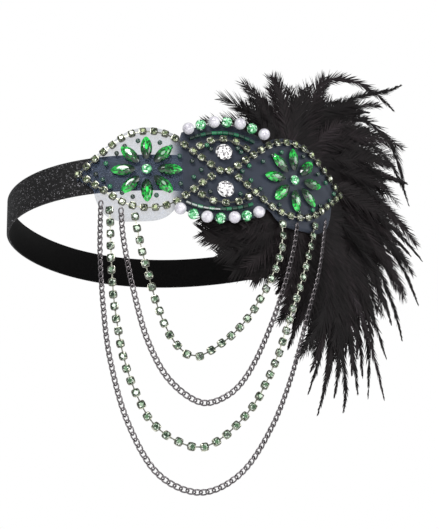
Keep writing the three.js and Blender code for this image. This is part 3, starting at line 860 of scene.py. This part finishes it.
def make_flowers():
    for side, direction in (("left", -1), ("right", 1)):
        centre = direction * FLOWER_OFFSET
        radius = PETAL_INNER + PETAL_LENGTH / 2
        seats = []
        for i in range(PETAL_COUNT):
            turn = 2 * math.pi * i / PETAL_COUNT
            seats.append(seat(centre + radius * math.cos(turn), RISE + radius * math.sin(turn), turn=turn))
        pieces = []
        for i, place in enumerate(seats):
            stone = navette_prototype(40 + i + 10 * (direction > 0))
            pieces.append(scatter(f"{side}_navette_{i}", [place], stone, EMERALD, seed=i, tones=[0.0]))
            forget(stone)
        finished(joined(f"{side}_flower_petals", pieces), "emerald_glass",
                 *[f"{side}_petal_{i + 1}" for i in range(PETAL_COUNT)])
        r = FLOWER_CENTRE / 2
        cut = [(r * 0.8, 0.2), (r * 0.95, 1.1), (r * 0.78, 1.8), (r * 0.5, 2.2), (r * 0.2, 2.35)]
        heart = turned_stone("chaton", cut, 10, 61)
        set_on_seats(f"{side}_flower_chaton", [seat(centre, RISE)], heart, PALE_GREEN, "pale_green_glass",
                     f"{side}_flower_centre", tones=[0.3])


def make_eye_crystals():
    r = EYE_CRYSTAL / 2
    cut = [(r * 0.8, 0.2), (r * 0.97, 1.3), (r * 0.86, 2.2), (r * 0.66, 2.85), (r * 0.4, 3.2),
           (r * 0.16, 3.35)]
    for name, sign in (("upper", 1), ("lower", -1)):
        stone = turned_stone("crystal", cut, 14, 71 + sign)
        place = seat(0, RISE + sign * EYE_CRYSTAL_HEIGHT)
        set_on_seats(f"{name}_crystal", [place], stone, CRYSTAL, "clear_glass", f"{name}_eye_crystal",
                     tones=[0.1])


def bead_prototype(diameter, rings=14, segments=24, squash=1.0):
    """A drilled round bead: a ball with a small hole along X."""
    r, hole = diameter / 2, 0.5
    first = math.asin(hole / r)
    points = []
    for i in range(rings + 1):
        a = first + (math.pi - 2 * first) * i / rings
        for k in range(segments):
            b = 2 * math.pi * k / segments
            y, z = math.sin(a) * math.cos(b), math.sin(a) * math.sin(b) * squash
            points.append((r * math.cos(a), r * y, r * z))
    return mesh_object("bead", points, ring_faces(rings + 1, segments), smooth=True)


def rondelle_prototype(seed):
    r = GREEN_BEAD / 2
    cut = [(0.4, -0.86), (0.82, -0.62), (0.99, -0.12), (0.96, 0.32), (0.72, 0.66), (0.4, 0.83), (0.15, 0.86)]
    return turned_stone("rondelle", [(r * radius, r * height) for radius, height in cut], 12, seed)


BEADS_IN_ROW = 7


def make_bead_rows():
    for name, sign, shift in (("upper", 1, 1.5), ("lower", -1, -3.5)):
        pearls, greens = [], []
        for i in range(BEADS_IN_ROW):
            off = i - BEADS_IN_ROW // 2
            s = shift + off * BEAD_ROW_PITCH * math.cos(abs(off) * BEAD_ROW_PITCH / BEAD_ROW_RADIUS / 2)
            z = RISE + sign * bead_row_height(s - shift)
            lean = -sign * math.asin((s - shift) / BEAD_ROW_RADIUS)
            if i % 2 == 0:
                pearls.append(seat(s, z, lift=PEARL / 2, turn=lean))
            else:
                greens.append(seat(s, z, lift=GREEN_BEAD * 0.43, turn=lean))
        set_on_seats(f"{name}_pearl_row", pearls, bead_prototype(PEARL), NACRE, "pearl",
                     *[f"{name}_pearl_{k + 1}" for k in range(len(pearls))])
        set_on_seats(f"{name}_green_row", greens, rondelle_prototype(81 + sign), PALE_GREEN,
                     "pale_green_glass", *[f"{name}_green_bead_{k + 1}" for k in range(len(greens))], seed=5)


BUGLE_ARC_TOP = 20.6
BUGLE_ARC_RADIUS = 38.0
BUGLE_LENGTH = 2.6
BUGLE_RADIUS = 0.95
BUGLE_GAP = 0.18
BUGLES_IN_ARC = 12


def make_bugle_arcs():
    """Rows of short tube beads sewn end to end outside each eye."""
    sides = 8
    points = []
    for x in (-BUGLE_LENGTH / 2, BUGLE_LENGTH / 2):
        for k in range(sides):
            a = 2 * math.pi * k / sides
            points.append((x, BUGLE_RADIUS * math.cos(a), BUGLE_RADIUS * math.sin(a)))
    tube = mesh_object("bugle", points, ring_faces(2, sides))
    for name, sign, shift in (("upper", 1, -0.5), ("lower", -1, -3.0)):
        seats = []
        for i in range(BUGLES_IN_ARC):
            s = (i - (BUGLES_IN_ARC - 1) / 2) * (BUGLE_LENGTH + BUGLE_GAP)
            z = BUGLE_ARC_TOP - BUGLE_ARC_RADIUS + math.sqrt(BUGLE_ARC_RADIUS ** 2 - s ** 2)
            seats.append(seat(s + shift, RISE + sign * z, lift=BUGLE_RADIUS - 0.1,
                              turn=-sign * math.asin(s / BUGLE_ARC_RADIUS)))
        finished(scatter(f"{name}_bugle_arc", seats, tube, BEAD_GLASS, seed=90 + sign), "emerald_glass")
    forget(tube)


SEED_BEAD = 2.5
SEED_BEAD_LIFT = 0.85

# Seed beads sewn between the flowers and the rims: s, z

SEED_BEADS = [
    (-42.5, 15.2), (-31.8, 14.2), (-53, 9), (-58.3, 4), (-63.4, -1.2), (-60, -4.4), (-56.4, -8.4),
    (-45.4, -14.6), (-34, -14), (-22.2, 7.2), (-16, 4.8), (-11.6, 0.2), (-15.4, -3.8), (-22, -7.6),
    (-26.5, 12), (-49, 12.6), (-50.5, -12.2), (-27.5, -11.5), (20.5, 7.3), (12.8, 3.8), (9, 0.4),
    (13.4, -4), (18.2, -8), (31.5, 14.2), (45, 14.6), (54.5, 7), (60, 3.6), (66.5, -1), (62.5, -6),
    (54.4, -11), (28.5, -15.4), (40, -17.5), (20, -13), (49.5, 12), (26.2, 11.5), (49, -14.5),
    (-8.5, 13.6), (-6.5, 11.5), (7, 12.6), (8.8, 10.8), (-7.6, -11.5), (7.4, -12),
]


def make_seed_beads():
    ball = bead_prototype(SEED_BEAD, rings=6, segments=10, squash=0.9)
    rng = random.Random(9)
    seats = [seat(s, z + RISE, lift=SEED_BEAD_LIFT, turn=rng.uniform(0, math.pi)) for s, z in SEED_BEADS]
    set_on_seats("sewn_seed_beads", seats, ball, BEAD_GLASS, "emerald_glass", seed=9)


# Plume


def fan_at(angle):
    rows = np.array(PLUME_FAN, float)
    return np.interp(angle, rows[:, 0], rows[:, 1]) * PLUME_REACH, np.interp(angle, rows[:, 0], rows[:, 2])


def barb_points():
    """Outline of one barb: a fine tapering strip along Y that bends towards +X, of unit length."""
    stations = [(0.0, 0.26, 0.0), (0.35, 0.24, 0.03), (0.7, 0.16, 0.12), (1.0, 0.0, 0.26)]
    points = []
    for y, width, bend in stations[:-1]:
        points += [(bend - width, y, 0), (bend + width, y, 0)]
    points.append((stations[-1][2], stations[-1][0], 0))
    return points


SHAFT_RADIUS = 0.42


class FeatherBatch:
    """Collects shafts and barb seats, then makes one piece of each."""

    def __init__(self, seed):
        self.rng = random.Random(seed)
        self.seats, self.sizes, self.tones = [], [], []
        self.shaft_points, self.shaft_faces = [], []

    def add(self, path, half_width, barbs, base_angle, tip_angle, bare, width, ragged, taper):
        """path holds (s, z, depth) rows from root to tip; bare is the share of the shaft without barbs."""
        path = np.array(path, float)
        rng = self.rng
        spine = face(*path.T)
        steps = len(spine)
        twist = rng.uniform(-0.25, 0.25)
        tone = rng.random()
        fractions = np.linspace(bare, 0.995, barbs)
        out_guess = Vector((0.12, -1.0, 0.0))
        for t in fractions:
            position = t * (steps - 1)
            i = min(int(position), steps - 2)
            here = Vector(spine[i]).lerp(Vector(spine[i + 1]), position - i)
            along = Vector(spine[i + 1] - spine[i]).normalized()
            out = (out_guess - along * out_guess.dot(along)).normalized()
            hidden = under_net(path[i][0], path[i][1])
            if not hidden:
                out = Matrix.Rotation(twist, 3, along) @ out
            side = out.cross(along)
            lean = math.radians(base_angle + (tip_angle - base_angle) * t ** 0.8)
            swell = min(1.0, 0.45 + 2.2 * t) * (1.02 - t) ** taper
            for sign in (-1, 1):
                a = lean + rng.gauss(0, 0.09)
                direction = (along * math.cos(a) + side * sign * math.sin(a)
                             + out * (rng.uniform(-0.12, 0) if hidden else rng.gauss(0, 0.07))).normalized()
                toward_tip = (along - direction * along.dot(direction)).normalized()
                normal = toward_tip.cross(direction)
                length = half_width * swell * (1 - ragged * rng.random()) / max(math.sin(lean), 0.3)
                matrix = Matrix((toward_tip, direction, normal)).transposed().to_4x4()
                self.seats.append(Matrix.Translation(here) @ matrix)
                self.sizes.append((width * (1 + 0.6 * length / 20), length, 1))
                self.tones.append(min(1.0, max(0.0, tone * 0.6 + rng.random() * 0.4)))
        base = len(self.shaft_points)
        for i, point in enumerate(spine):
            r = SHAFT_RADIUS * (1 - 0.85 * i / (steps - 1))
            for k in range(4):
                b = math.pi / 2 * k
                self.shaft_points.append((point[0] + r * math.cos(b), point[1] + 0.6 * r * math.sin(b),
                                          point[2] + r * math.sin(b + math.pi / 4)))
        self.shaft_faces += [tuple(base + j for j in f) for f in ring_faces(steps, 4)]

    def make(self, name, nodes=()):
        barb = mesh_object("barb", barb_points(), [(0, 1, 3, 2), (2, 3, 5, 4), (4, 5, 6)], smooth=True)
        made = scatter(name + "_barbs", self.seats, barb, FEATHER, tones=self.tones, sizes=self.sizes)
        forget(barb)
        shafts = mesh_object(name + "_shafts", self.shaft_points, self.shaft_faces, (FEATHER,), smooth=True)
        finished(joined(name, [made, shafts]), "black_feather", *nodes)


# Feathers start this far from the pad's middle, pass behind the net and are free beyond HELD_REACH

SLOT_MIDDLE = CLEARANCE + PLUME_SLOT / 2
ROOT_START = 5.0
NET_COVER_LENGTH = 72
NET_COVER_HEIGHT = 29
NET_GAP = 0.5
HELD_REACH = 24

# Between these directions in degrees the swags hang in front of the plume

SWAGS_FROM = -138
SWAGS_TO = -38


def under_net(s, z):
    return abs(s) < NET_COVER_LENGTH and abs(z - RISE) < NET_COVER_HEIGHT


def behind_net(s, z, depth):
    return min(depth, float(net_back(s)) - NET_GAP) if under_net(s, z) else depth


def feather_path(angle, reach, bulge, layer, spread, steps=16, curl=0.0):
    """From the pad to the tip, bent sideways; spread carries the free end forwards or back."""
    a = math.radians(angle)
    along, across = np.array([math.cos(a), math.sin(a)]), np.array([-math.sin(a), math.cos(a)])
    root = np.array([PLUME_S, RISE]) + along * ROOT_START
    tip = np.array([PLUME_S, RISE]) + along * reach
    bend = (root + tip) / 2 + across * 2 * bulge * reach
    rows = []
    for t in np.linspace(0, 1, steps):
        flat = (1 - t) ** 2 * root + 2 * t * (1 - t) * bend + t * t * tip
        flat = flat - across * curl * reach * t ** 4
        free = min(1.0, max(0.0, (t * reach - HELD_REACH) / max(reach - HELD_REACH, 1)))
        depth = SLOT_MIDDLE + layer * 0.5 + spread * free ** 1.4
        rows.append((flat[0], flat[1], behind_net(flat[0], flat[1], depth)))
    return rows


def spread_for(rng, angle, amount):
    """The plume thickens both ways where it is free, and only backwards behind the swags."""
    return rng.uniform(-amount, 0 if SWAGS_FROM < angle < SWAGS_TO else amount)


# Long quills and curved feathers, by their points (s, z), half width and spread

QUILLS = [
    ([(48, 12), (57, 42), (66, 64), (82, 75), (101, 77), (117, 72), (128, 66)], 7.0, -3),
    ([(48, 10), (63, 36), (82, 57), (104, 70), (118, 75), (131, 82)], 6.0, 1),
    ([(50, 8), (74, 38), (97, 53), (116, 47), (126, 32), (129, 14)], 8.0, -2),
    ([(50, 6), (76, 30), (99, 38), (114, 30), (122, 16), (125, 4)], 4.4, 3),
    ([(50, -4), (78, -4), (102, -14), (118, -34), (126, -54)], 4.4, 2),
    ([(50, -8), (76, -14), (98, -30), (112, -54), (118, -74)], 4.6, -3),
    ([(48, -10), (68, -30), (84, -58), (94, -86), (99, -108)], 5.0, -1),
    ([(46, -12), (60, -44), (72, -80), (76, -104), (73, -116)], 5.2, -4),
]


# Clumps of pointed feathers below and to the right: direction in degrees and longest reach

HACKLE_CLUMPS = [
    (-110, 56), (-101, 66), (-92, 96), (-85, 120), (-79, 112), (-70, 114), (-64, 119), (-56, 106), (-46, 94),
    (-34, 90), (-20, 92), (-6, 90), (12, 84), (27, 80), (44, 84),
]


FLUFF_COUNT = 116
FLUFF_REACH = 78
FLAP_FLUFF_COUNT = 14
BODY_COUNT = 60
BODY_REACH = 94
HACKLES_IN_CLUMP = 4
QUILL_STEPS = 26

# Barbs of each kind of feather; the angles, in degrees from the shaft, are those at root and tip

SOFT_FLUFF = dict(barbs=70, base_angle=52, tip_angle=30, bare=0.08, width=0.8, ragged=0.5, taper=0.38)
FLAP_FLUFF = dict(barbs=84, base_angle=54, tip_angle=36, bare=0.3, width=1.0, ragged=0.35, taper=0.34)
BODY_FEATHER = dict(barbs=84, base_angle=46, tip_angle=22, bare=0.3, width=0.8, ragged=0.35, taper=0.45)
HACKLE = dict(barbs=110, base_angle=28, tip_angle=13, bare=0.2, width=1.0, ragged=0.1, taper=0.62)
QUILL = dict(barbs=150, base_angle=34, tip_angle=15, bare=0.12, width=0.8, ragged=0.35, taper=0.6)


def angles_around(rng, first, turn, count):
    """Directions in degrees in nearly equal steps, drawn one by one as they are used."""
    for i in range(count):
        yield first + turn * (i + rng.uniform(-0.4, 0.4)) / (count - 1)


def make_plume():
    rng = random.Random(4)
    fluff = FeatherBatch(5)
    for angle in angles_around(rng, -158, 310, FLUFF_COUNT):
        reach, bulge = fan_at(angle)
        reach = min(reach, FLUFF_REACH) * rng.uniform(0.55, 1.0)
        path = feather_path(angle, reach, bulge * rng.uniform(0.5, 1.4), rng.uniform(-1, 1),
                            spread_for(rng, angle, 9))
        fluff.add(path, rng.uniform(9, 13), **SOFT_FLUFF)
    for i in range(FLAP_FLUFF_COUNT):
        angle = -157 + 44 * i / (FLAP_FLUFF_COUNT - 1)
        path = feather_path(angle, fan_at(angle)[0] * rng.uniform(0.8, 1.05), rng.uniform(0.08, 0.22),
                            rng.uniform(-1, 1), rng.uniform(-8, -2))
        fluff.add(path, rng.uniform(12, 15), **FLAP_FLUFF)
    fluff.make("plume_fluff", ["feather_plume"])

    body = FeatherBatch(7)
    for angle in angles_around(rng, -96, 150, BODY_COUNT):
        reach = min(fan_at(angle)[0], BODY_REACH) * rng.uniform(0.7, 1.0)
        path = feather_path(angle, reach, rng.uniform(0.05, 0.22), rng.uniform(-1, 1),
                            spread_for(rng, angle, 7), curl=0.06)
        body.add(path, rng.uniform(8, 12), **BODY_FEATHER)
    body.make("plume_body")

    hackles = FeatherBatch(6)
    for aim, longest in HACKLE_CLUMPS:
        for k in range(HACKLES_IN_CLUMP):
            angle = aim + rng.uniform(-3, 3)
            path = feather_path(angle, longest * (1 - 0.09 * k), rng.uniform(0.07, 0.16), rng.uniform(-1, 1),
                                spread_for(rng, angle, 7), steps=20)
            hackles.add(path, rng.uniform(4.6, 7), **HACKLE)
    for points, half_width, spread in QUILLS:
        path = smooth_path(points, QUILL_STEPS)
        depth = SLOT_MIDDLE + spread * np.clip(np.linspace(0, 1, QUILL_STEPS) * 1.6 - 0.6, 0, 1)
        depth = [behind_net(s, z, d) for (s, z), d in zip(path, depth)]
        hackles.add(np.column_stack([path, depth]), half_width, **QUILL)
    hackles.make("plume_hackles")


def make_scene():
    make_band()
    make_net()
    make_rims()
    make_stone_swags()
    make_curb_swags()
    make_flowers()
    make_eye_crystals()
    make_bead_rows()
    make_bugle_arcs()
    make_seed_beads()
    make_plume()


make_scene()


# Studio

FLOOR_HALF = 1500
FLOOR_LEVEL = -330


def area_light(name, place, aim, size, power):
    data = bpy.data.lights.new(name, "AREA")
    data.size = size
    data.energy = power
    lamp = bpy.data.objects.new(name, data)
    bpy.context.scene.collection.objects.link(lamp)
    direction = Vector(aim) - Vector(place)
    lamp.matrix_world = Matrix.Translation(place) @ direction.to_track_quat("-Z", "Y").to_matrix().to_4x4()


def make_studio():
    area_light("key", (-0.5, -0.8, 0.55), (0, -0.07, 0), 0.35, 9.0)
    area_light("fill", (0.7, -0.7, 0.1), (0, -0.07, -0.05), 0.5, 4.0)
    area_light("low", (-0.1, -0.7, -0.28), (0, -0.07, -0.05), 0.25, 1.5)
    world = bpy.data.worlds.new("studio")
    bpy.context.scene.world = world
    world.use_nodes = True
    tree = world.node_tree
    # White behind the headband, and a soft grey light from all round it
    seen = node(tree, "ShaderNodeLightPath").outputs["Is Camera Ray"]
    shade = node(tree, "ShaderNodeMix", {"data_type": "RGBA", "A": (0.42, 0.43, 0.44, 1), "B": (1, 1, 1, 1)},
                 {"Factor": seen})
    link(tree, tree.nodes["Background"], {"Color": shade})
    ends = ((-1, -1), (1, -1), (1, 1), (-1, 1))
    points = [(x * FLOOR_HALF, y * FLOOR_HALF, FLOOR_LEVEL) for x, y in ends]
    floor = mesh_object("floor", points, [(0, 1, 2, 3)])
    pale, _, _ = new_material("matt_white_paint", Base_Color=colour("#f4f4f4"), Roughness=0.9,
                              Emission_Color=colour("#ffffff"), Emission_Strength=0.4)
    floor.data.materials.append(pale)
    bpy.context.scene.view_settings.view_transform = "Standard"


make_studio()
